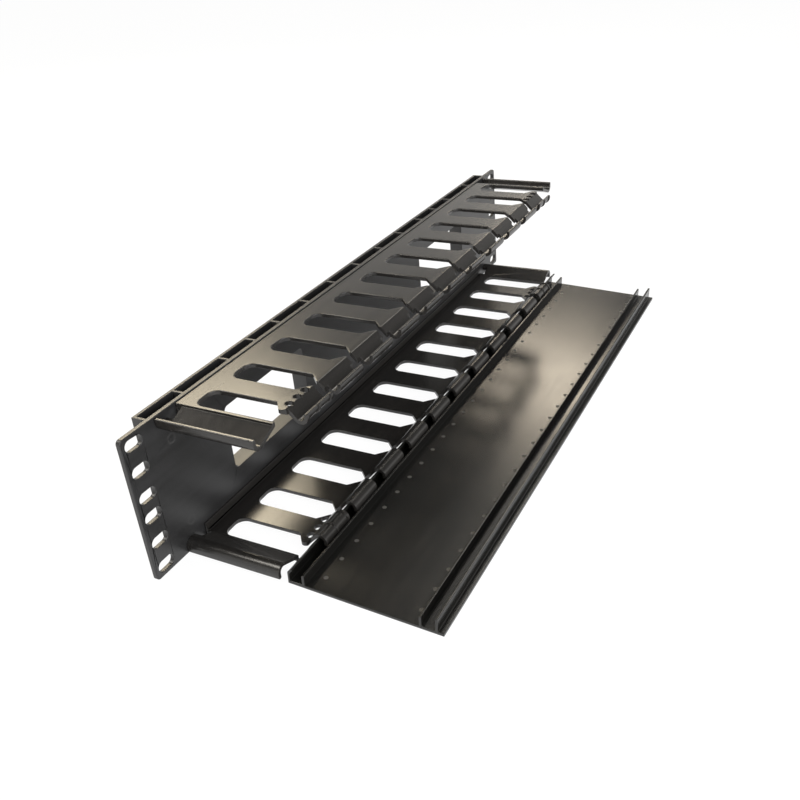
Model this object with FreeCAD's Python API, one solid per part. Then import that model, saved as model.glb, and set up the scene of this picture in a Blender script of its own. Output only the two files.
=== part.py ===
import FreeCAD, Part
import math
import os

# Horizontal cable manager for a 19-inch rack, two units high: a moulded panel
# with rack ears, two comb mouldings that form the duct, and a snap-on cover
# that swings on rolled finger tips.
#
# Millimetres.  X runs along the width, -Y is the front, +Z is up.  The origin
# is the centre of the panel on the plane where the ears meet the rack rails.

V = FreeCAD.Vector
UP = V(0, 0, 1)
ALONG = V(1, 0, 0)
BACK = V(0, 1, 0)
PARALLEL = 0.99               # share of a direction that counts as all of it
TOUCHING = 1e-6               # places this close are the same place

# ------------------------------------------------------------ driving sizes

# panel and rack ears
PANEL_WIDTH = 482.6
PANEL_HEIGHT = 88.1
PANEL_WALL = 2.8
EAR_CORNER_R = 2.5
RACK_SPACING = 465.1          # between the two columns of rack slots
RACK_FIRST_HOLE = 6.35        # first slot above and below the middle
RACK_HOLE_STEP = 15.875
RACK_ROWS = 3                 # slots above the middle, and as many below
RACK_SLOT_LENGTH = 12.0
RACK_SLOT_WIDTH = 6.6

# stiffening frame behind the panel
FRAME_WIDTH = 441.0
FRAME_DEPTH = 8.4
FRAME_WALL = 2.2
FRAME_END_WALL = 2.0
RIB_WALL = 1.8
TROUGH_RIBS = (0.0, 33.0, 66.0, 98.4, 124.3, 150.2, 190.3)

# pass-through windows, one each side of the middle
WINDOW_NEAR = 84.0
WINDOW_FAR = 164.5
WINDOW_HEIGHT = 41.0
WINDOW_CORNER_R = 3.0

# comb plate
COMB_FACE = 43.5              # outer face of the plate, from the middle
COMB_PLATE = 2.5
FLANGE_WALL = 1.3
FLANGE_HEIGHT = 8.5
FLANGE_LENGTH = 400.0
SEAM_CHAMFER = 0.6
SLOT_COUNT = 12
SLOT_PITCH = 35.0
SLOT_WIDTH = 17.5
SLOT_REAR = 10.5              # distances ahead of the panel's front face
SLOT_CORNER_R = 6.0
SLOT_SIDE_END = 53.0
SLIT_START = 59.0
SLIT_WIDTH = 5.0
TIP_BEND = 60.0
ROLL_GAP_START = 63.5
ROLL_GAP = 11.0

# snap tabs that hold a comb in the panel
SNAP_X = (50.0, 112.0, 170.0)
SNAP_LEVEL = 39.3
SNAP_WIDTH = 8.0
SNAP_WALL = 2.0
SNAP_BARB = 0.8
SNAP_BARB_LENGTH = 1.6
SNAP_FIT = 0.1

# rolled finger tips, which are the cover's hinge sockets
ROLL_AHEAD = 67.2
ROLL_LEVEL = 40.0             # roll's axis, from the middle
ROLL_INNER_R = 2.6
ROLL_WALL = 2.2
ROLL_RIM = 41.9               # tip of the roll's front leg
ROLL_RIM_CHAMFER = 0.5

# slots beside the first and last finger, open to the front
END_SLOT_EDGE = 197.6
END_SLOT_WIDTH = 16.8

# first and last finger: an ear, collars on the roll and three holes behind it
END_EAR_START = 51.5
END_EAR_FULL = 56.5
END_EAR_END = 60.5
END_EAR_OUT = 6.4
END_EAR_R = 2.4
END_ROLL_TRIM = 2.6
RECESS_WALL = 1.5             # roll's wall between the collars
RECESS_START = -125.0         # degrees round the roll from straight ahead
COLLAR_WIDTH = 1.2
COLLAR_INSET = 0.6
TIP_HOLE_R = 2.4
TIP_HOLE_AHEAD = 58.4
TIP_HOLE_PITCH = 7.5
TIP_HOLES = 3

# arms at the ends of the comb, rolled like the finger tips
ARM_BEND = 199.8
ARM_STEP = 1.3
ARM_ROLL = 211.7
ARM_LEVEL = 40.2
ARM_RIM = 43.0
ARM_NOTCH = 4.5
ARM_NOTCH_END = 207.5
ARM_LENGTH = 61.5

# cover
COVER_WIDTH = 424.4
COVER_PLATE = 2.0
COVER_HOOK_R = 2.3            # hook that turns inside the rolled tips
COVER_HOOK_WALL = 1.2
COVER_HOOK_TIP = 95.0         # degrees round the hinge axis
COVER_HOOK_ROOT = 165.0
COVER_HOOK_RISE = 8.0         # hinge axis above the cover's outer face
COVER_HOOK_NECK = 1.6         # bend of the hinge wall, below the hinge axis
COVER_LIP = 3.3               # plate beyond the latching wall
COVER_INNER_RISE = 8.0
COVER_INNER_WALL = 1.6
COVER_STOP_WALL = 1.4
COVER_LATCH_WALL = 1.5
COVER_LATCH_RISE = 10.0
COVER_ROLL_GAP = 0.5
COVER_LATCH_GAP = 0.4
COVER_DROOP = 2.7             # degrees below level when it lies open

# ------------------------------------------------------------ derived sizes

HALF_HEIGHT = PANEL_HEIGHT / 2
FRONT = -PANEL_WALL
ROLL_OUTER_R = ROLL_INNER_R + ROLL_WALL
COMB_INSIDE = COMB_FACE - COMB_PLATE
WINDOW_TOP = WINDOW_HEIGHT / 2
TROUGH_FLOOR = WINDOW_TOP + FRAME_WALL
HALF_FRAME = FRAME_WIDTH / 2
LAST_SLOT = SLOT_PITCH * (SLOT_COUNT - 1) / 2
END_FINGER = END_SLOT_EDGE - END_SLOT_WIDTH
END_EAR = END_FINGER + END_EAR_OUT
END_ROLL = END_EAR - END_ROLL_TRIM
HINGE_Y = FRONT - ROLL_AHEAD
HINGE_Z = -ROLL_LEVEL


def ahead(distance):
    """Y of a point this far in front of the panel's front face."""
    return FRONT - distance


# ------------------------------------------------------------ small helpers


def line(a, b):
    return Part.LineSegment(a, b).toShape()


def arc(a, middle, b):
    return Part.Arc(a, middle, b).toShape()


def polygon(points):
    return Part.Face(Part.makePolygon(list(points) + [points[0]]))


def box(x0, x1, y0, y1, z0, z1):
    return Part.makeBox(x1 - x0, y1 - y0, z1 - z0, V(x0, y0, z0))


def rod(radius, length, start, direction):
    return Part.makeCylinder(radius, length, start, direction)


def edges_along(shape, direction):
    return [e for e in shape.Edges
            if abs(e.tangentAt(e.FirstParameter).dot(direction)) > PARALLEL]


def rounded_plate(x0, x1, z0, z1, radius, y0, depth):
    """Upright rectangle with rounded corners, extruded towards the back."""
    plate = box(x0, x1, y0, y0 + depth, z0, z1)
    return plate.makeFillet(radius, edges_along(plate, BACK))


def both_sides(shape):
    """The shape and its mirror image across the middle of the width."""
    return [shape, shape.mirror(V(0, 0, 0), ALONG)]


def all_corners(shape):
    """The shape mirrored across the width and across the height."""
    pair = both_sides(shape)
    return pair + [s.mirror(V(0, 0, 0), UP) for s in pair]


def merged(first, others):
    return first.fuse(others).removeSplitter()


# ------------------------------------------------------------ panel


def rack_slot(x, z):
    half_run = (RACK_SLOT_LENGTH - RACK_SLOT_WIDTH) / 2
    r = RACK_SLOT_WIDTH / 2
    a = V(x - half_run, FRONT, z - r)
    b = V(x + half_run, FRONT, z - r)
    c = V(x + half_run, FRONT, z + r)
    d = V(x - half_run, FRONT, z + r)
    right = V(x + half_run + r, FRONT, z)
    left = V(x - half_run - r, FRONT, z)
    wire = Part.Wire([line(a, b), arc(b, right, c), line(c, d), arc(d, left, a)])
    return Part.Face(wire).extrude(BACK * PANEL_WALL)


def rack_slots():
    cuts = []
    for row in range(RACK_ROWS):
        z = RACK_FIRST_HOLE + row * RACK_HOLE_STEP
        cuts += all_corners(rack_slot(RACK_SPACING / 2, z))
    return cuts


def window(x0, x1):
    return rounded_plate(x0, x1, -WINDOW_TOP, WINDOW_TOP, WINDOW_CORNER_R,
                         FRONT, PANEL_WALL + FRAME_DEPTH)


def stiffening_frame():
    """Troughs along the top and bottom, window walls, ribs and end walls."""
    rear = FRAME_DEPTH - FRAME_WALL
    walls = []
    for side in (1, -1):
        low, high = sorted((side * WINDOW_TOP, side * HALF_HEIGHT))
        walls.append(box(-HALF_FRAME, HALF_FRAME, rear, FRAME_DEPTH, low, high))
        low, high = sorted((side * WINDOW_TOP, side * TROUGH_FLOOR))
        walls.append(box(-HALF_FRAME, HALF_FRAME, 0, FRAME_DEPTH, low, high))
    for x in (WINDOW_NEAR - FRAME_WALL, WINDOW_FAR):
        side_wall = box(x, x + FRAME_WALL, 0, FRAME_DEPTH, -TROUGH_FLOOR, TROUGH_FLOOR)
        walls += both_sides(side_wall)
    end = box(HALF_FRAME - FRAME_END_WALL, HALF_FRAME, 0, FRAME_DEPTH,
              -HALF_HEIGHT, HALF_HEIGHT)
    walls += both_sides(end)
    for x in TROUGH_RIBS:
        rib = box(x - RIB_WALL / 2, x + RIB_WALL / 2, 0, FRAME_DEPTH,
                  -HALF_HEIGHT, HALF_HEIGHT)
        walls += both_sides(rib) if x else [rib]
    return walls


def snap_slot(x):
    """Slot for a comb's snap tab, with room for its barb to bend past."""
    half = SNAP_WIDTH / 2 + SNAP_FIT
    low = SNAP_LEVEL - SNAP_WALL / 2 - SNAP_FIT - SNAP_BARB
    high = SNAP_LEVEL + SNAP_WALL / 2 + SNAP_FIT
    return box(x - half, x + half, FRONT, 0, low, high)


def rack_panel():
    plate = rounded_plate(-PANEL_WIDTH / 2, PANEL_WIDTH / 2, -HALF_HEIGHT, HALF_HEIGHT,
                          EAR_CORNER_R, FRONT, PANEL_WALL)
    panel = merged(plate, stiffening_frame())
    cuts = rack_slots() + both_sides(window(WINDOW_NEAR, WINDOW_FAR))
    for x in SNAP_X:
        cuts += all_corners(snap_slot(x))
    return panel.cut(cuts)


# ------------------------------------------------------------ combs


def slope_angle(run, drop):
    """Angle of a line that falls from a bend and just touches the roll's inside."""
    return math.atan2(drop, run) + math.asin(ROLL_INNER_R / math.hypot(run, drop))


def hooked_profile(start, bend, step, centre, level, rim, place):
    """Section of the comb plate with its rolled edge.

    The plate runs outwards from start at its full thickness, steps down at
    bend, falls on a slope that is tangent to the roll, and ends in a leg with
    a chamfered tip at rim.  place turns (distance outwards, height) into a point.
    """
    r = ROLL_INNER_R
    big = ROLL_OUTER_R
    slope = slope_angle(centre - bend, COMB_FACE - step - level)

    def on_roll(radius, degrees):
        turn = math.radians(degrees)
        return place(centre + radius * math.cos(turn), level + radius * math.sin(turn))

    foot = -90 - math.degrees(slope)
    half_way = foot / 2
    foot_turn = math.radians(foot)
    foot_out = centre + big * math.cos(foot_turn)
    foot_level = level + big * math.sin(foot_turn)
    under_bend = foot_out - (COMB_INSIDE - foot_level) / math.tan(slope)
    c = ROLL_RIM_CHAMFER

    def plain(points):
        return [line(a, b) for a, b in zip(points, points[1:])]

    top = [place(start, COMB_FACE), place(bend, COMB_FACE)]
    if step:
        top.append(place(bend, COMB_FACE - step))
    leg = [on_roll(r, 0), place(centre + r, rim - c), place(centre + r + c, rim),
           place(centre + big - c, rim), place(centre + big, rim - c), on_roll(big, 0)]
    under = [on_roll(big, foot), place(under_bend, COMB_INSIDE),
             place(start, COMB_INSIDE), place(start, COMB_FACE)]
    edges = plain(top + [on_roll(r, foot)])
    edges.append(arc(on_roll(r, foot), on_roll(r, half_way), on_roll(r, 0)))
    edges += plain(leg)
    edges.append(arc(on_roll(big, 0), on_roll(big, half_way), on_roll(big, foot)))
    edges += plain(under)
    return Part.Face(Part.Wire(edges))


def finger_blank():
    """Plate with the rolled front edge, before the slots part its fingers."""
    def place(distance, z):
        return V(-END_EAR, ahead(distance), z)
    face = hooked_profile(0, TIP_BEND, 0, ROLL_AHEAD, ROLL_LEVEL, ROLL_RIM, place)
    return face.extrude(ALONG * 2 * END_EAR)


def end_arm():
    """Arm at the +X end: the plate's side strip with its own rolled edge."""
    def place(distance, z):
        return V(distance, ahead(ARM_LENGTH), z)
    face = hooked_profile(END_EAR, ARM_BEND, ARM_STEP, ARM_ROLL, ARM_LEVEL, ARM_RIM, place)
    arm = face.extrude(BACK * ARM_LENGTH)
    notch = box(ARM_BEND, ARM_NOTCH_END, ahead(ARM_NOTCH), FRONT, 0, COMB_FACE)
    return arm.cut(notch)


def root_flange():
    half = FLANGE_LENGTH / 2
    return box(-half, half, ahead(FLANGE_WALL), FRONT, COMB_FACE - FLANGE_HEIGHT, COMB_FACE)


def rounded_rear(cut):
    """The slot cut with its two rear corners rounded."""
    corners = [e for e in edges_along(cut, UP)
               if abs(e.CenterOfMass.y - ahead(SLOT_REAR)) < TOUCHING]
    return cut.makeFillet(SLOT_CORNER_R, corners)


def finger_slot(x, left_gap, right_gap):
    """Cut between two fingers: rounded slot, chamfered neck, slit, roll gap."""
    h = SLOT_WIDTH / 2
    s = SLIT_WIDTH / 2
    beyond = ROLL_AHEAD + 2 * ROLL_OUTER_R
    side = ahead(SLOT_SIDE_END)
    neck = ahead(SLIT_START)
    gap = ahead(ROLL_GAP_START)
    outline = [
        V(x - h, ahead(SLOT_REAR), 0), V(x + h, ahead(SLOT_REAR), 0),
        V(x + h, side, 0), V(x + s, neck, 0), V(x + s, gap, 0),
        V(x + right_gap, gap, 0), V(x + right_gap, ahead(beyond), 0),
        V(x - left_gap, ahead(beyond), 0), V(x - left_gap, gap, 0),
        V(x - s, gap, 0), V(x - s, neck, 0), V(x - h, side, 0),
    ]
    # a gap as narrow as the slit has its corners on the slit's
    outline = [p for i, p in enumerate(outline) if p != outline[i - 1]]
    return rounded_rear(polygon(outline).extrude(UP * HALF_HEIGHT))


def end_slot():
    """Slot between the last finger and the +X arm, open to the front."""
    beyond = ahead(ROLL_AHEAD + 2 * ROLL_OUTER_R)
    outline = [
        V(END_FINGER, ahead(SLOT_REAR), 0), V(END_SLOT_EDGE, ahead(SLOT_REAR), 0),
        V(END_SLOT_EDGE, beyond, 0), V(END_ROLL, beyond, 0),
        V(END_ROLL, ahead(END_EAR_END), 0), V(END_EAR, ahead(END_EAR_END), 0),
        V(END_EAR, ahead(END_EAR_FULL), 0), V(END_FINGER, ahead(END_EAR_START), 0),
    ]
    cut = rounded_rear(polygon(outline).extrude(UP * HALF_HEIGHT))
    nose = [e for e in edges_along(cut, UP) if abs(e.CenterOfMass.x - END_EAR) < TOUCHING]
    return cut.makeFillet(END_EAR_R, nose)


def finger_slots():
    wide = ROLL_GAP / 2
    narrow = SLIT_WIDTH / 2
    cuts = both_sides(end_slot())
    for i in range(1, SLOT_COUNT - 1):
        x = i * SLOT_PITCH - LAST_SLOT
        left = narrow if i == 1 else wide
        right = narrow if i == SLOT_COUNT - 2 else wide
        cuts.append(finger_slot(x, left, right))
    return cuts


def collar_places():
    """Middles of the three collars on the last finger's roll."""
    outer = END_ROLL - COLLAR_INSET
    inner = LAST_SLOT - SLOT_PITCH + SLIT_WIDTH / 2 + COLLAR_INSET + COLLAR_WIDTH / 2
    return [inner, (inner + outer) / 2, outer]


def roll_recess(x0, x1):
    """Cut that leaves the roll thinner between two collars."""
    small = ROLL_INNER_R + RECESS_WALL
    wide = 2 * ROLL_OUTER_R

    def place(out, z):
        return V(x0, ahead(ROLL_AHEAD + out), ROLL_LEVEL + z)

    def at(radius, degrees):
        turn = math.radians(degrees)
        return place(radius * math.cos(turn), radius * math.sin(turn))

    top = place(small, wide)
    corner = place(wide, wide)
    below = place(wide, -wide)
    edges = [arc(at(small, RECESS_START), at(small, RECESS_START / 2), at(small, 0)),
             line(at(small, 0), top), line(top, corner), line(corner, below),
             line(below, at(wide, RECESS_START)),
             line(at(wide, RECESS_START), at(small, RECESS_START))]
    return Part.Face(Part.Wire(edges)).extrude(ALONG * (x1 - x0))


def roll_recesses():
    cuts = []
    places = collar_places()
    for x0, x1 in zip(places, places[1:]):
        cuts += both_sides(roll_recess(x0 + COLLAR_WIDTH / 2, x1 - COLLAR_WIDTH / 2))
    return cuts


def tip_holes():
    """Holes through the last finger, just behind its bend."""
    middle = (collar_places()[0] + collar_places()[-1]) / 2
    first = middle - TIP_HOLE_PITCH * (TIP_HOLES - 1) / 2
    cuts = []
    for i in range(TIP_HOLES):
        hole = rod(TIP_HOLE_R, COMB_FACE, V(first + i * TIP_HOLE_PITCH, ahead(TIP_HOLE_AHEAD), 0), UP)
        cuts += both_sides(hole)
    return cuts


def snap_tab(x):
    """Tab through the panel with a barb behind its front wall."""
    low = SNAP_LEVEL - SNAP_WALL / 2
    high = SNAP_LEVEL + SNAP_WALL / 2
    tip = SNAP_FIT + SNAP_BARB_LENGTH
    x0 = x - SNAP_WIDTH / 2
    outline = [V(x0, ahead(FLANGE_WALL), low), V(x0, ahead(FLANGE_WALL), high),
               V(x0, SNAP_FIT, high), V(x0, SNAP_FIT, high + SNAP_BARB),
               V(x0, tip, high), V(x0, tip, low)]
    return polygon(outline).extrude(ALONG * SNAP_WIDTH)


def comb():
    """The upper comb moulding."""
    parts = both_sides(end_arm()) + [root_flange()]
    for x in SNAP_X:
        parts += both_sides(snap_tab(x))
    body = merged(finger_blank(), parts)
    seam = polygon([V(-PANEL_WIDTH, FRONT, COMB_FACE - SEAM_CHAMFER),
                    V(-PANEL_WIDTH, FRONT, COMB_FACE + SEAM_CHAMFER),
                    V(-PANEL_WIDTH, ahead(SEAM_CHAMFER), COMB_FACE + SEAM_CHAMFER),
                    V(-PANEL_WIDTH, ahead(SEAM_CHAMFER), COMB_FACE)])
    cuts = finger_slots() + roll_recesses() + tip_holes()
    cuts.append(seam.extrude(ALONG * 2 * PANEL_WIDTH))
    return body.cut(cuts)


# ------------------------------------------------------------ cover


def cover():
    """Cover lying open, hooked into the lower comb's rolled tips."""
    droop = math.radians(COVER_DROOP)
    edge_to_axis = COMB_FACE - ROLL_LEVEL
    along = V(0, -math.cos(droop), -math.sin(droop))
    inwards = V(0, -math.sin(droop), math.cos(droop))
    axis = V(-COVER_WIDTH / 2, HINGE_Y, HINGE_Z)
    corner = axis - along * edge_to_axis - inwards * COVER_HOOK_RISE

    def at(u, h):
        return corner + along * u + inwards * h

    def strip(u0, u1, h0, h1):
        return polygon([at(u0, h0), at(u1, h0), at(u1, h1), at(u0, h1)])

    rolls_apart = 2 * ROLL_LEVEL
    leg_rise = ROLL_RIM - ROLL_LEVEL
    far_axis = edge_to_axis + rolls_apart
    latch = far_axis + leg_rise + COVER_LATCH_GAP
    stop = far_axis - ROLL_OUTER_R - COVER_LATCH_GAP
    inner = edge_to_axis + ROLL_OUTER_R + COVER_ROLL_GAP
    width = latch + COVER_LATCH_WALL + COVER_LIP

    # the hinge wall leans into its hook along the slope of the comb's tips
    lean = droop + slope_angle(ROLL_AHEAD - TIP_BEND, COMB_FACE - ROLL_LEVEL)
    touch = 90 + math.degrees(lean)
    wall = edge_to_axis - COVER_HOOK_R
    wall_top = COVER_HOOK_RISE + (COVER_HOOK_R - edge_to_axis * math.sin(lean)) / math.cos(lean)
    hook_in = COVER_HOOK_R - COVER_HOOK_WALL

    def hook(radius, degrees):
        turn = math.radians(degrees)
        return at(edge_to_axis + radius * math.cos(turn), COVER_HOOK_RISE + radius * math.sin(turn))

    tip, root = COVER_HOOK_TIP, COVER_HOOK_ROOT
    bend = at(wall, COVER_HOOK_RISE - COVER_HOOK_NECK)
    hinge_wall = Part.Face(Part.Wire([
        line(at(0, 0), at(wall, 0)),
        line(at(wall, 0), bend),
        line(bend, hook(hook_in, root)),
        arc(hook(hook_in, root), hook(hook_in, (root + tip) / 2), hook(hook_in, tip)),
        line(hook(hook_in, tip), hook(COVER_HOOK_R, tip)),
        arc(hook(COVER_HOOK_R, tip), hook(COVER_HOOK_R, (tip + touch) / 2), hook(COVER_HOOK_R, touch)),
        line(hook(COVER_HOOK_R, touch), at(0, wall_top)),
        line(at(0, wall_top), at(0, 0)),
    ]))
    faces = [
        hinge_wall,
        strip(inner, inner + COVER_INNER_WALL, 0, COVER_INNER_RISE),
        strip(stop - COVER_STOP_WALL, stop, 0, COVER_INNER_RISE),
        strip(latch, latch + COVER_LATCH_WALL, 0, COVER_LATCH_RISE),
    ]
    walls = [face.extrude(ALONG * COVER_WIDTH) for face in faces]
    plate = strip(0, width, 0, COVER_PLATE).extrude(ALONG * COVER_WIDTH)
    return merged(plate, walls)


# ------------------------------------------------------------ output


def main():
    upper = comb()
    nodes = {
        "rack_panel": rack_panel(),
        "upper_comb": upper,
        "lower_comb": upper.mirror(V(0, 0, 0), UP),
        "cover": cover(),
    }
    os.makedirs("parts", exist_ok=True)
    for name, shape in nodes.items():
        shape.exportStep("parts/" + name + ".step")
        b = shape.BoundBox
        print(name, len(shape.Solids), "solids", shape.isValid(), round(shape.Volume),
              [round(v, 2) for v in (b.XMin, b.XMax, b.YMin, b.YMax, b.ZMin, b.ZMax)])


main()
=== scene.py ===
import math
from contextlib import contextmanager

import bmesh
import bpy
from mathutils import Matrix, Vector


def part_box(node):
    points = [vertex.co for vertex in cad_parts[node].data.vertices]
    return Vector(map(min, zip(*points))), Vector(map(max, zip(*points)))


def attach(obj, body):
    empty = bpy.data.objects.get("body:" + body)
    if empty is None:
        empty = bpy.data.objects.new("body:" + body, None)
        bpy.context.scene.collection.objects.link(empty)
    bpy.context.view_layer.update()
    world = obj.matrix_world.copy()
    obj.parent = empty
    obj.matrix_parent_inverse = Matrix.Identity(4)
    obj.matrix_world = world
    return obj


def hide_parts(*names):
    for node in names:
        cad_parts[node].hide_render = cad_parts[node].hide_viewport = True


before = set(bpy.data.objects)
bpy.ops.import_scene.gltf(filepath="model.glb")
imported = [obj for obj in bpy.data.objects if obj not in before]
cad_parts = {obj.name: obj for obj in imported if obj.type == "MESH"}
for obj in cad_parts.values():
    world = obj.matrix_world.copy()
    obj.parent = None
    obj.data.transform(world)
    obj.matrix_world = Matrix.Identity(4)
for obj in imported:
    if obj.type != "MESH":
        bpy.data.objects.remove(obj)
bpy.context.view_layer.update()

MM = 0.001
MATH = "ShaderNodeMath"

# ---------------------------------------------------------------- camera and light

CAMERA_PLACE = (-0.4856, -0.3022, 0.2583)
CAMERA_TURN = (60.259, 4.703, -62.709)      # degrees
CAMERA_LENS = 39.14                         # millimetres
CAMERA_SENSOR = 36                          # millimetres

# Narrow strips draw the bright lines on the edges, the patch gives the cover
# its sheen, and the softboxes light the faces.
# name, place, what it faces, size in metres, watts, colour
SOFTBOXES = (
    ("side_strip", (1.1, 0.05, 1.3), (0, 0, 0), (0.3, 0.7), 5, "#fffaf0"),
    ("side_patch", (1.06, 0.18, 0.58), (0, 0, 0), (0.26, 0.12), 1.3, "#fff0d8"),
    ("overhead_strip", (-0.68, 0.74, 1.15), (0, 0, 0), (1.1, 0.35), 13, "#fffaf0"),
    ("rear_softbox", (0.557, 0.8, 0.867), (-0.2, 0, 0), (0.45, 0.4), 7.5, "#fff0d2"),
    ("front_softbox", (-0.6, -1.2, 0.6), (0, 0, 0), (1.2, 1.0), 18, "#fbfbfd"),
)

# The studio is bright at the horizon and dim overhead.
HORIZON = (0.2, 0.45)         # heights on the unit sphere between which it fades
STUDIO_LIGHT = (1.05, 0.22)   # strength at those heights
STUDIO_TINT = "#fffdf9"

FLOOR_SIZE = 8.0              # metres
FLOOR_GAP = 0.2               # millimetres below what stands on it
FLOOR_PAPER = "#e6e6e6"
FLOOR_GLOW = 1.06             # strength that the camera and reflections see
FLOOR_GLOW_SHARE = 0.9        # the rest is paper, which keeps the shadows

# ---------------------------------------------------------------- edges, in millimetres

FACE_EDGE = 0.6               # along the outer face of a comb
OTHER_EDGE = 0.25             # a comb's other edges
PANEL_EDGE = 0.4
COVER_EDGE = 0.4
TIP_EDGE = 0.12               # along short edges in the finger tips
TIP_SHORT = 8.4               # edges below this length count as short
TIP_LENGTH = 21.0             # finger tips, from a comb's front
EDGE_SEGMENTS = 3
FACE_SKIN = 0.05              # an edge this near the outer face lies on it
SEAM_REACH = 8.0              # strip behind the slots that keeps its own chamfer
WELD = 0.002                  # corners this close are one corner

SHARP_ANGLE = 30.0            # degrees between two faces that make an edge
TRUE_FLAT = 0.1               # degrees between triangles cut from one flat face
FLAT_ANGLE = 4.0              # the same, once the edges are rounded
LARGE_FACES_WIN = 100         # shading follows the flat face, not its rounded edge

# ---------------------------------------------------------------- marks of the ejector pins, in millimetres

PANEL_PIN_ACROSS = 207.8      # from the middle of the panel
PANEL_PIN_UP = 26.5
PANEL_PIN_R = 3.0
PIN_RING = 0.7                # width of the ring that a panel pin leaves
PIN_EDGE = 0.15               # half of the width over which a mark fades
FACING = 0.5                  # least share of a face's normal that points the marks' way
COVER_PIN_R = 1.3
COVER_PIN_START = -136.5      # place of one mark along the width
# distance of each row from the hinge edge, and its pitch
COVER_PIN_ROWS = ((17.5, 16.4), (73.5, 16.4), (84.0, 32.6))

# ---------------------------------------------------------------- black ABS

ABS_IOR = 1.53

# The panel's tool has the deepest texture, so it is the greyest and least shiny
# piece. The combs are smoother, with a clearer sheen along their plates. The
# cover is blackest and smoothest, and shows lights as soft pools.
PANEL_BLACKS = ("#1e1e1e", "#2a2a2b")
PANEL_ROUGHNESS = (0.34, 0.42)
PANEL_TEXTURE = 0.15
COMB_BLACKS = ("#1e1d1c", "#2a2826")
COMB_ROUGHNESS = (0.22, 0.28)
COMB_TEXTURE = 0.06
COVER_BLACKS = ("#121211", "#1b1a18")
COVER_ROUGHNESS = (0.2, 0.25)
COVER_TEXTURE = 0.06

# Pin faces are eroded and not polished, so they look paler and matt.
PANEL_PIN_GREY = "#3a3a3a"
COVER_PIN_GREY = "#4b4a46"
PIN_ROUGHNESS = 0.7

# sizes of the patterns, in millimetres
CLOUD_SIZE = 71.43            # patches of dust from handling
FLOW_LENGTH = 55.56           # flow marks run along the width, as the melt did
FLOW_WIDTH = 3.704
SPARK_GRAIN = 0.5             # really about 0.1, drawn coarser so that it shows
SPARK_DEPTH = 0.05
BLOTCHES = (0.1, 0.45)        # levels of cloud times flow from the darkest to the palest


# ---------------------------------------------------------------- helpers


def hex_colour(text):
    """sRGB hex value as a linear RGBA tuple."""
    channels = [int(text[i:i + 2], 16) / 255 for i in (1, 3, 5)]
    linear = [c / 12.92 if c <= 0.04045 else ((c + 0.055) / 1.055) ** 2.4 for c in channels]
    return (*linear, 1.0)


WHITE = hex_colour("#ffffff")


def node(tree, kind, settings=None, links=None):
    """Adds one shader node, with its settings and what feeds its sockets."""
    made = tree.nodes.new(kind)
    for name, value in (settings or {}).items():
        if isinstance(name, int) or name in made.inputs:
            made.inputs[name].default_value = value
        else:
            setattr(made, name, value)
    for name, source in (links or {}).items():
        tree.links.new(source, made.inputs[name])
    return made


def deselect():
    bpy.ops.object.select_all(action="DESELECT")


@contextmanager
def opened(piece):
    """The piece's mesh, open for changes, which it takes when the block ends."""
    mesh = bmesh.new()
    mesh.from_mesh(piece.data)
    yield mesh
    mesh.to_mesh(piece.data)
    mesh.free()


# ---------------------------------------------------------------- materials


def round_mark(tree, across, along, radius):
    """1 inside a round mark and 0 outside, from the distances to its middle."""
    flat = node(tree, "ShaderNodeCombineXYZ", None, {"X": across, "Y": along})
    reach = node(tree, "ShaderNodeVectorMath", {"operation": "LENGTH"}, {0: flat.outputs["Vector"]})
    return node(tree, "ShaderNodeMapRange",
                {"From Min": (radius - PIN_EDGE) * MM, "From Max": (radius + PIN_EDGE) * MM,
                 "To Min": 1.0, "To Max": 0.0},
                {"Value": reach.outputs["Value"]}).outputs["Result"]


def panel_pins(tree, axes, facing):
    """Rings that the mould's ejector pins leave near the corners of the panel's front."""
    offsets = []
    for axis, pin in (("X", PANEL_PIN_ACROSS), ("Z", PANEL_PIN_UP)):
        reach = node(tree, MATH, {"operation": "ABSOLUTE"}, {0: axes[axis]})
        offset = node(tree, MATH, {"operation": "SUBTRACT", 1: pin * MM}, {0: reach.outputs["Value"]})
        offsets.append(offset.outputs["Value"])
    disc = round_mark(tree, *offsets, PANEL_PIN_R)
    core = round_mark(tree, *offsets, PANEL_PIN_R - PIN_RING)
    ring = node(tree, MATH, {"operation": "SUBTRACT"}, {0: disc, 1: core})
    forward = node(tree, MATH, {"operation": "LESS_THAN", 1: -FACING}, {0: facing["Y"]})
    return node(tree, MATH, {"operation": "MULTIPLY"},
                {0: ring.outputs["Value"], 1: forward.outputs["Value"]}).outputs["Value"]


def cover_pins(tree, axes, facing):
    """Rows of small ejector marks on the cover's inner face, beside its walls."""
    hinge_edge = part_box("cover")[1].y
    start = node(tree, MATH, {"operation": "SUBTRACT", 1: COVER_PIN_START * MM}, {0: axes["X"]})
    rows = []
    for from_edge, pitch in COVER_PIN_ROWS:
        across = node(tree, MATH, {"operation": "WRAP", 1: pitch / 2 * MM, 2: -pitch / 2 * MM},
                      {0: start.outputs["Value"]})
        along = node(tree, MATH, {"operation": "SUBTRACT", 1: hinge_edge - from_edge * MM},
                     {0: axes["Y"]})
        rows.append(round_mark(tree, across.outputs["Value"], along.outputs["Value"], COVER_PIN_R))
    marks = rows[0]
    for row in rows[1:]:
        marks = node(tree, MATH, {"operation": "MAXIMUM"}, {0: marks, 1: row}).outputs["Value"]
    upward = node(tree, MATH, {"operation": "GREATER_THAN", 1: FACING}, {0: facing["Z"]})
    return node(tree, MATH, {"operation": "MULTIPLY"},
                {0: marks, 1: upward.outputs["Value"]}).outputs["Value"]


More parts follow.
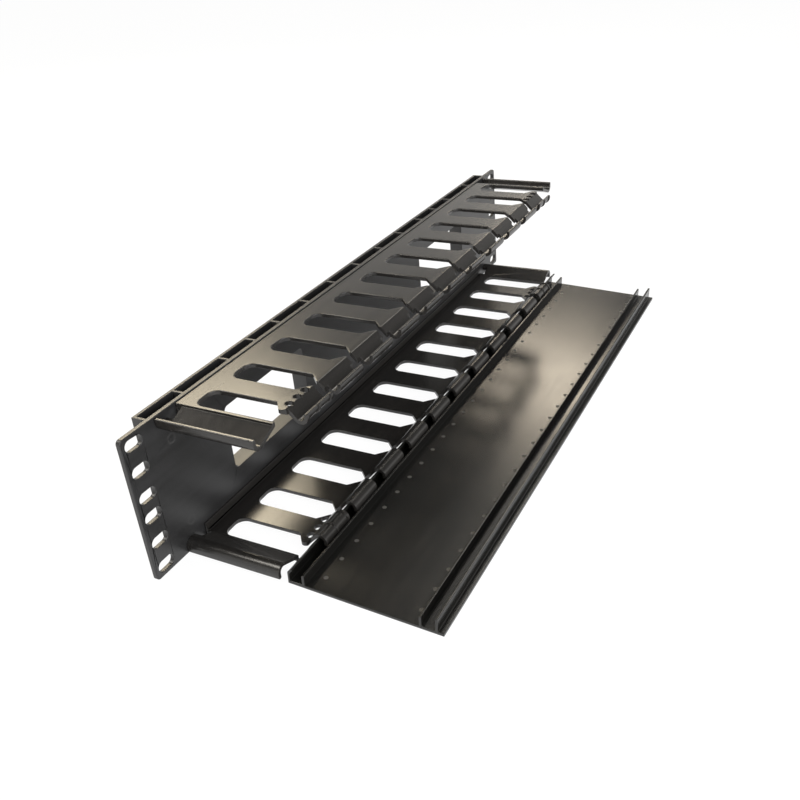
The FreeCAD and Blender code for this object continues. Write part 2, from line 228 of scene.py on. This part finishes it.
def moulded_plastic(name, blacks, roughness, texture, pins=None, pin_grey=None):
    """Black ABS as it leaves the mould.

    Satin rather than glossy: the tool's fine spark texture breaks up the
    sheen, long flow marks change it slightly, and handling leaves faint dust.
    """
    material = bpy.data.materials.new(name)
    material.use_nodes = True
    tree = material.node_tree
    shader = tree.nodes["Principled BSDF"]
    shader.inputs["IOR"].default_value = ABS_IOR
    coordinates = node(tree, "ShaderNodeTexCoord").outputs
    place = coordinates["Object"]
    cloud = node(tree, "ShaderNodeTexNoise",
                 {"Scale": 1 / (CLOUD_SIZE * MM), "Detail": 4.0, "Roughness": 0.6}, {"Vector": place})
    long_way = 1 / (FLOW_LENGTH * MM)
    short_way = 1 / (FLOW_WIDTH * MM)
    stretch = node(tree, "ShaderNodeMapping", {"Scale": (long_way, short_way, short_way)},
                   {"Vector": place})
    flow = node(tree, "ShaderNodeTexNoise", {"Scale": 1.0, "Detail": 3.0},
                {"Vector": stretch.outputs["Vector"]})
    mixed = node(tree, MATH, {"operation": "MULTIPLY"}, {0: cloud.outputs["Fac"], 1: flow.outputs["Fac"]})
    tone = node(tree, "ShaderNodeValToRGB", None, {"Fac": mixed.outputs["Value"]})
    for stop, level, black in zip(tone.color_ramp.elements, BLOTCHES, blacks):
        stop.position = level
        stop.color = hex_colour(black)
    gloss = node(tree, "ShaderNodeMapRange",
                 {"From Min": BLOTCHES[0], "From Max": BLOTCHES[1],
                  "To Min": roughness[0], "To Max": roughness[1]},
                 {"Value": mixed.outputs["Value"]})
    spark = node(tree, "ShaderNodeTexNoise", {"Scale": 1 / (SPARK_GRAIN * MM), "Detail": 2.0},
                 {"Vector": place})
    bump = node(tree, "ShaderNodeBump", {"Strength": texture, "Distance": SPARK_DEPTH * MM},
                {"Height": spark.outputs["Fac"]})
    skin = tone.outputs["Color"]
    shine = gloss.outputs["Result"]
    if pins:
        axes = node(tree, "ShaderNodeSeparateXYZ", None, {"Vector": place}).outputs
        facing = node(tree, "ShaderNodeSeparateXYZ", None, {"Vector": coordinates["Normal"]}).outputs
        pressed = pins(tree, axes, facing)
        skin = node(tree, "ShaderNodeMix", {"data_type": "RGBA", "B": hex_colour(pin_grey)},
                    {"Factor": pressed, "A": skin}).outputs["Result"]
        shine = node(tree, "ShaderNodeMix", {"B": PIN_ROUGHNESS},
                     {"Factor": pressed, "A": shine}).outputs["Result"]
    tree.links.new(skin, shader.inputs["Base Color"])
    tree.links.new(shine, shader.inputs["Roughness"])
    tree.links.new(bump.outputs["Normal"], shader.inputs["Normal"])
    return material


def white_paper():
    """Matt white paper: no sheen, plain white to the eye, and soft shadows on it."""
    material = bpy.data.materials.new("white_paper_floor")
    material.use_nodes = True
    tree = material.node_tree
    tree.nodes.remove(tree.nodes["Principled BSDF"])
    path = node(tree, "ShaderNodeLightPath").outputs
    paper = node(tree, "ShaderNodeBsdfDiffuse", {"Color": hex_colour(FLOOR_PAPER)})
    glow = node(tree, "ShaderNodeEmission", {"Color": WHITE, "Strength": FLOOR_GLOW})
    seen = node(tree, MATH, {"operation": "MAXIMUM"},
                {0: path["Is Camera Ray"], 1: path["Is Glossy Ray"]})
    share = node(tree, MATH, {"operation": "MULTIPLY", 1: FLOOR_GLOW_SHARE}, {0: seen.outputs["Value"]})
    mix = node(tree, "ShaderNodeMixShader", None,
               {0: share.outputs["Value"], 1: paper.outputs["BSDF"], 2: glow.outputs["Emission"]})
    tree.links.new(mix.outputs["Shader"], tree.nodes["Material Output"].inputs["Surface"])
    return material


# ---------------------------------------------------------------- camera, stage and light


def add_camera():
    data = bpy.data.cameras.new("camera")
    data.lens = CAMERA_LENS
    data.sensor_width = CAMERA_SENSOR
    camera = bpy.data.objects.new("camera", data)
    camera.location = CAMERA_PLACE
    camera.rotation_euler = [math.radians(a) for a in CAMERA_TURN]
    bpy.context.scene.collection.objects.link(camera)
    bpy.context.scene.camera = camera


def add_floor():
    """Plane that carries the panel's rear edge and the cover's outer face."""
    panel_low, panel_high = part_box("rack_panel")
    cover_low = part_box("cover")[0]
    rear = Vector((0, panel_high.y, panel_low.z))
    front = Vector((0, cover_low.y, cover_low.z))
    fall = math.atan2(rear.z - front.z, rear.y - front.y)
    deselect()
    bpy.ops.mesh.primitive_plane_add(size=FLOOR_SIZE, rotation=(fall, 0, 0),
                                     location=(rear + front) / 2 - Vector((0, 0, FLOOR_GAP * MM)))
    floor = bpy.context.object
    floor.name = "floor"
    floor.data.materials.append(white_paper())


def add_world():
    """White behind the object, and a softer studio for its reflections."""
    world = bpy.data.worlds.new("studio")
    bpy.context.scene.world = world
    world.use_nodes = True
    tree = world.node_tree
    tree.nodes.clear()
    path = node(tree, "ShaderNodeLightPath").outputs
    place = node(tree, "ShaderNodeTexCoord").outputs["Generated"]
    height = node(tree, "ShaderNodeSeparateXYZ", None, {"Vector": place}).outputs["Z"]
    fade = node(tree, "ShaderNodeMapRange",
                {"From Min": HORIZON[0], "From Max": HORIZON[1],
                 "To Min": STUDIO_LIGHT[0], "To Max": STUDIO_LIGHT[1]},
                {"Value": height})
    soft = node(tree, "ShaderNodeBackground", {"Color": hex_colour(STUDIO_TINT)},
                {"Strength": fade.outputs["Result"]})
    plain = node(tree, "ShaderNodeBackground", {"Color": WHITE, "Strength": 1.0})
    mix = node(tree, "ShaderNodeMixShader", None,
               {0: path["Is Camera Ray"], 1: soft.outputs["Background"],
                2: plain.outputs["Background"]})
    node(tree, "ShaderNodeOutputWorld", None, {"Surface": mix.outputs["Shader"]})


def add_softbox(name, place, target, size, power, colour):
    data = bpy.data.lights.new(name, "AREA")
    data.shape = "RECTANGLE"
    data.size, data.size_y = size
    data.energy = power
    data.color = hex_colour(colour)[:3]
    lamp = bpy.data.objects.new(name, data)
    lamp.location = place
    lamp.rotation_euler = (Vector(target) - Vector(place)).to_track_quat("-Z", "Y").to_euler()
    bpy.context.scene.collection.objects.link(lamp)


# ---------------------------------------------------------------- pieces


def everywhere(point):
    """Test for a piece that has the same edge all over."""
    return True


def comb_face(name):
    """Test for points on a comb's outer face, ahead of its seam with the panel."""
    low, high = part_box(name)
    level = max(abs(low.z), abs(high.z))
    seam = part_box("rack_panel")[0].y - SEAM_REACH * MM

    def on_face(point):
        return abs(abs(point.z) - level) < FACE_SKIN * MM and point.y < seam
    return on_face


def weigh_edges(mesh, narrow, least, tips, on_face):
    """Gives each sharp edge its share of the bevel's width.

    Short edges in the finger tips, where holes cross the bend, get the least,
    so that the bevels of two edges that meet there don't cross.
    """
    share = mesh.edges.layers.float.new("bevel_weight_edge")
    for edge in mesh.edges:
        if len(edge.link_faces) != 2 or edge.calc_face_angle() < math.radians(SHARP_ANGLE):
            continue
        short = edge.calc_length() < TIP_SHORT * MM
        if short and all(v.co.y < tips for v in edge.verts):
            edge[share] = least
        else:
            edge[share] = 1.0 if all(on_face(v.co) for v in edge.verts) else narrow


def merge_flats(mesh, tips, angle):
    """Merges the triangles of each flat face, and leaves the finger tips alone."""
    inner = [e for e in mesh.edges if all(v.co.y > tips for v in e.verts)]
    bmesh.ops.dissolve_limit(mesh, angle_limit=math.radians(angle), verts=[], edges=inner,
                             use_dissolve_boundaries=False)


def copied(name):
    """A copy of a CAD moulding, with a mesh of its own and none of the frame's tags."""
    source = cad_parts[name]
    piece = source.copy()
    piece.data = source.data.copy()
    piece.name = name + "_moulding"
    for key in list(piece.keys()):
        if key.startswith("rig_"):
            del piece[key]
    piece.parent = None
    bpy.context.scene.collection.objects.link(piece)
    return piece


def rounded_copy(name, width, narrow, on_face, body, material):
    """A copy of a CAD moulding with its sharp edges broken, shown in its place."""
    piece = copied(name)
    is_comb = name.endswith("comb")
    # finger tips lie ahead of this Y, and only the combs have them
    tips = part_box(name)[0].y + TIP_LENGTH * MM if is_comb else -math.inf
    with opened(piece) as mesh:
        bmesh.ops.remove_doubles(mesh, verts=mesh.verts, dist=WELD * MM)
        if is_comb:
            # a bevel that slides along the triangles behind the slots would cross itself
            merge_flats(mesh, tips, TRUE_FLAT)
        weigh_edges(mesh, narrow / width, TIP_EDGE / width, tips, on_face)
    bevel = piece.modifiers.new("bevel", "BEVEL")
    bevel.width = width * MM
    bevel.segments = EDGE_SEGMENTS
    bevel.limit_method = "WEIGHT"
    bevel.use_clamp_overlap = False
    deselect()
    piece.select_set(True)
    bpy.context.view_layer.objects.active = piece
    bpy.ops.object.modifier_apply(modifier=bevel.name)
    with opened(piece) as mesh:
        merge_flats(mesh, tips, FLAT_ANGLE)
    bpy.ops.object.shade_smooth_by_angle(angle=math.radians(SHARP_ANGLE))
    flats = piece.modifiers.new("flats", "WEIGHTED_NORMAL")
    flats.keep_sharp = True
    flats.weight = LARGE_FACES_WIN
    bpy.ops.object.modifier_apply(modifier=flats.name)
    piece.data.materials.clear()
    piece.data.materials.append(material)
    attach(piece, body)
    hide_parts(name)


def main():
    add_camera()
    add_floor()
    add_world()
    for softbox in SOFTBOXES:
        add_softbox(*softbox)
    panel = moulded_plastic("black_moulded_abs_panel", PANEL_BLACKS, PANEL_ROUGHNESS, PANEL_TEXTURE,
                            panel_pins, PANEL_PIN_GREY)
    comb = moulded_plastic("black_moulded_abs_comb", COMB_BLACKS, COMB_ROUGHNESS, COMB_TEXTURE)
    cover = moulded_plastic("black_moulded_abs_cover", COVER_BLACKS, COVER_ROUGHNESS, COVER_TEXTURE,
                            cover_pins, COVER_PIN_GREY)
    rounded_copy("rack_panel", PANEL_EDGE, PANEL_EDGE, everywhere, "frame", panel)
    for name in ("upper_comb", "lower_comb"):
        rounded_copy(name, FACE_EDGE, OTHER_EDGE, comb_face(name), "frame", comb)
    rounded_copy("cover", COVER_EDGE, COVER_EDGE, everywhere, "cover", cover)
    bpy.context.scene.view_settings.view_transform = "Standard"


main()
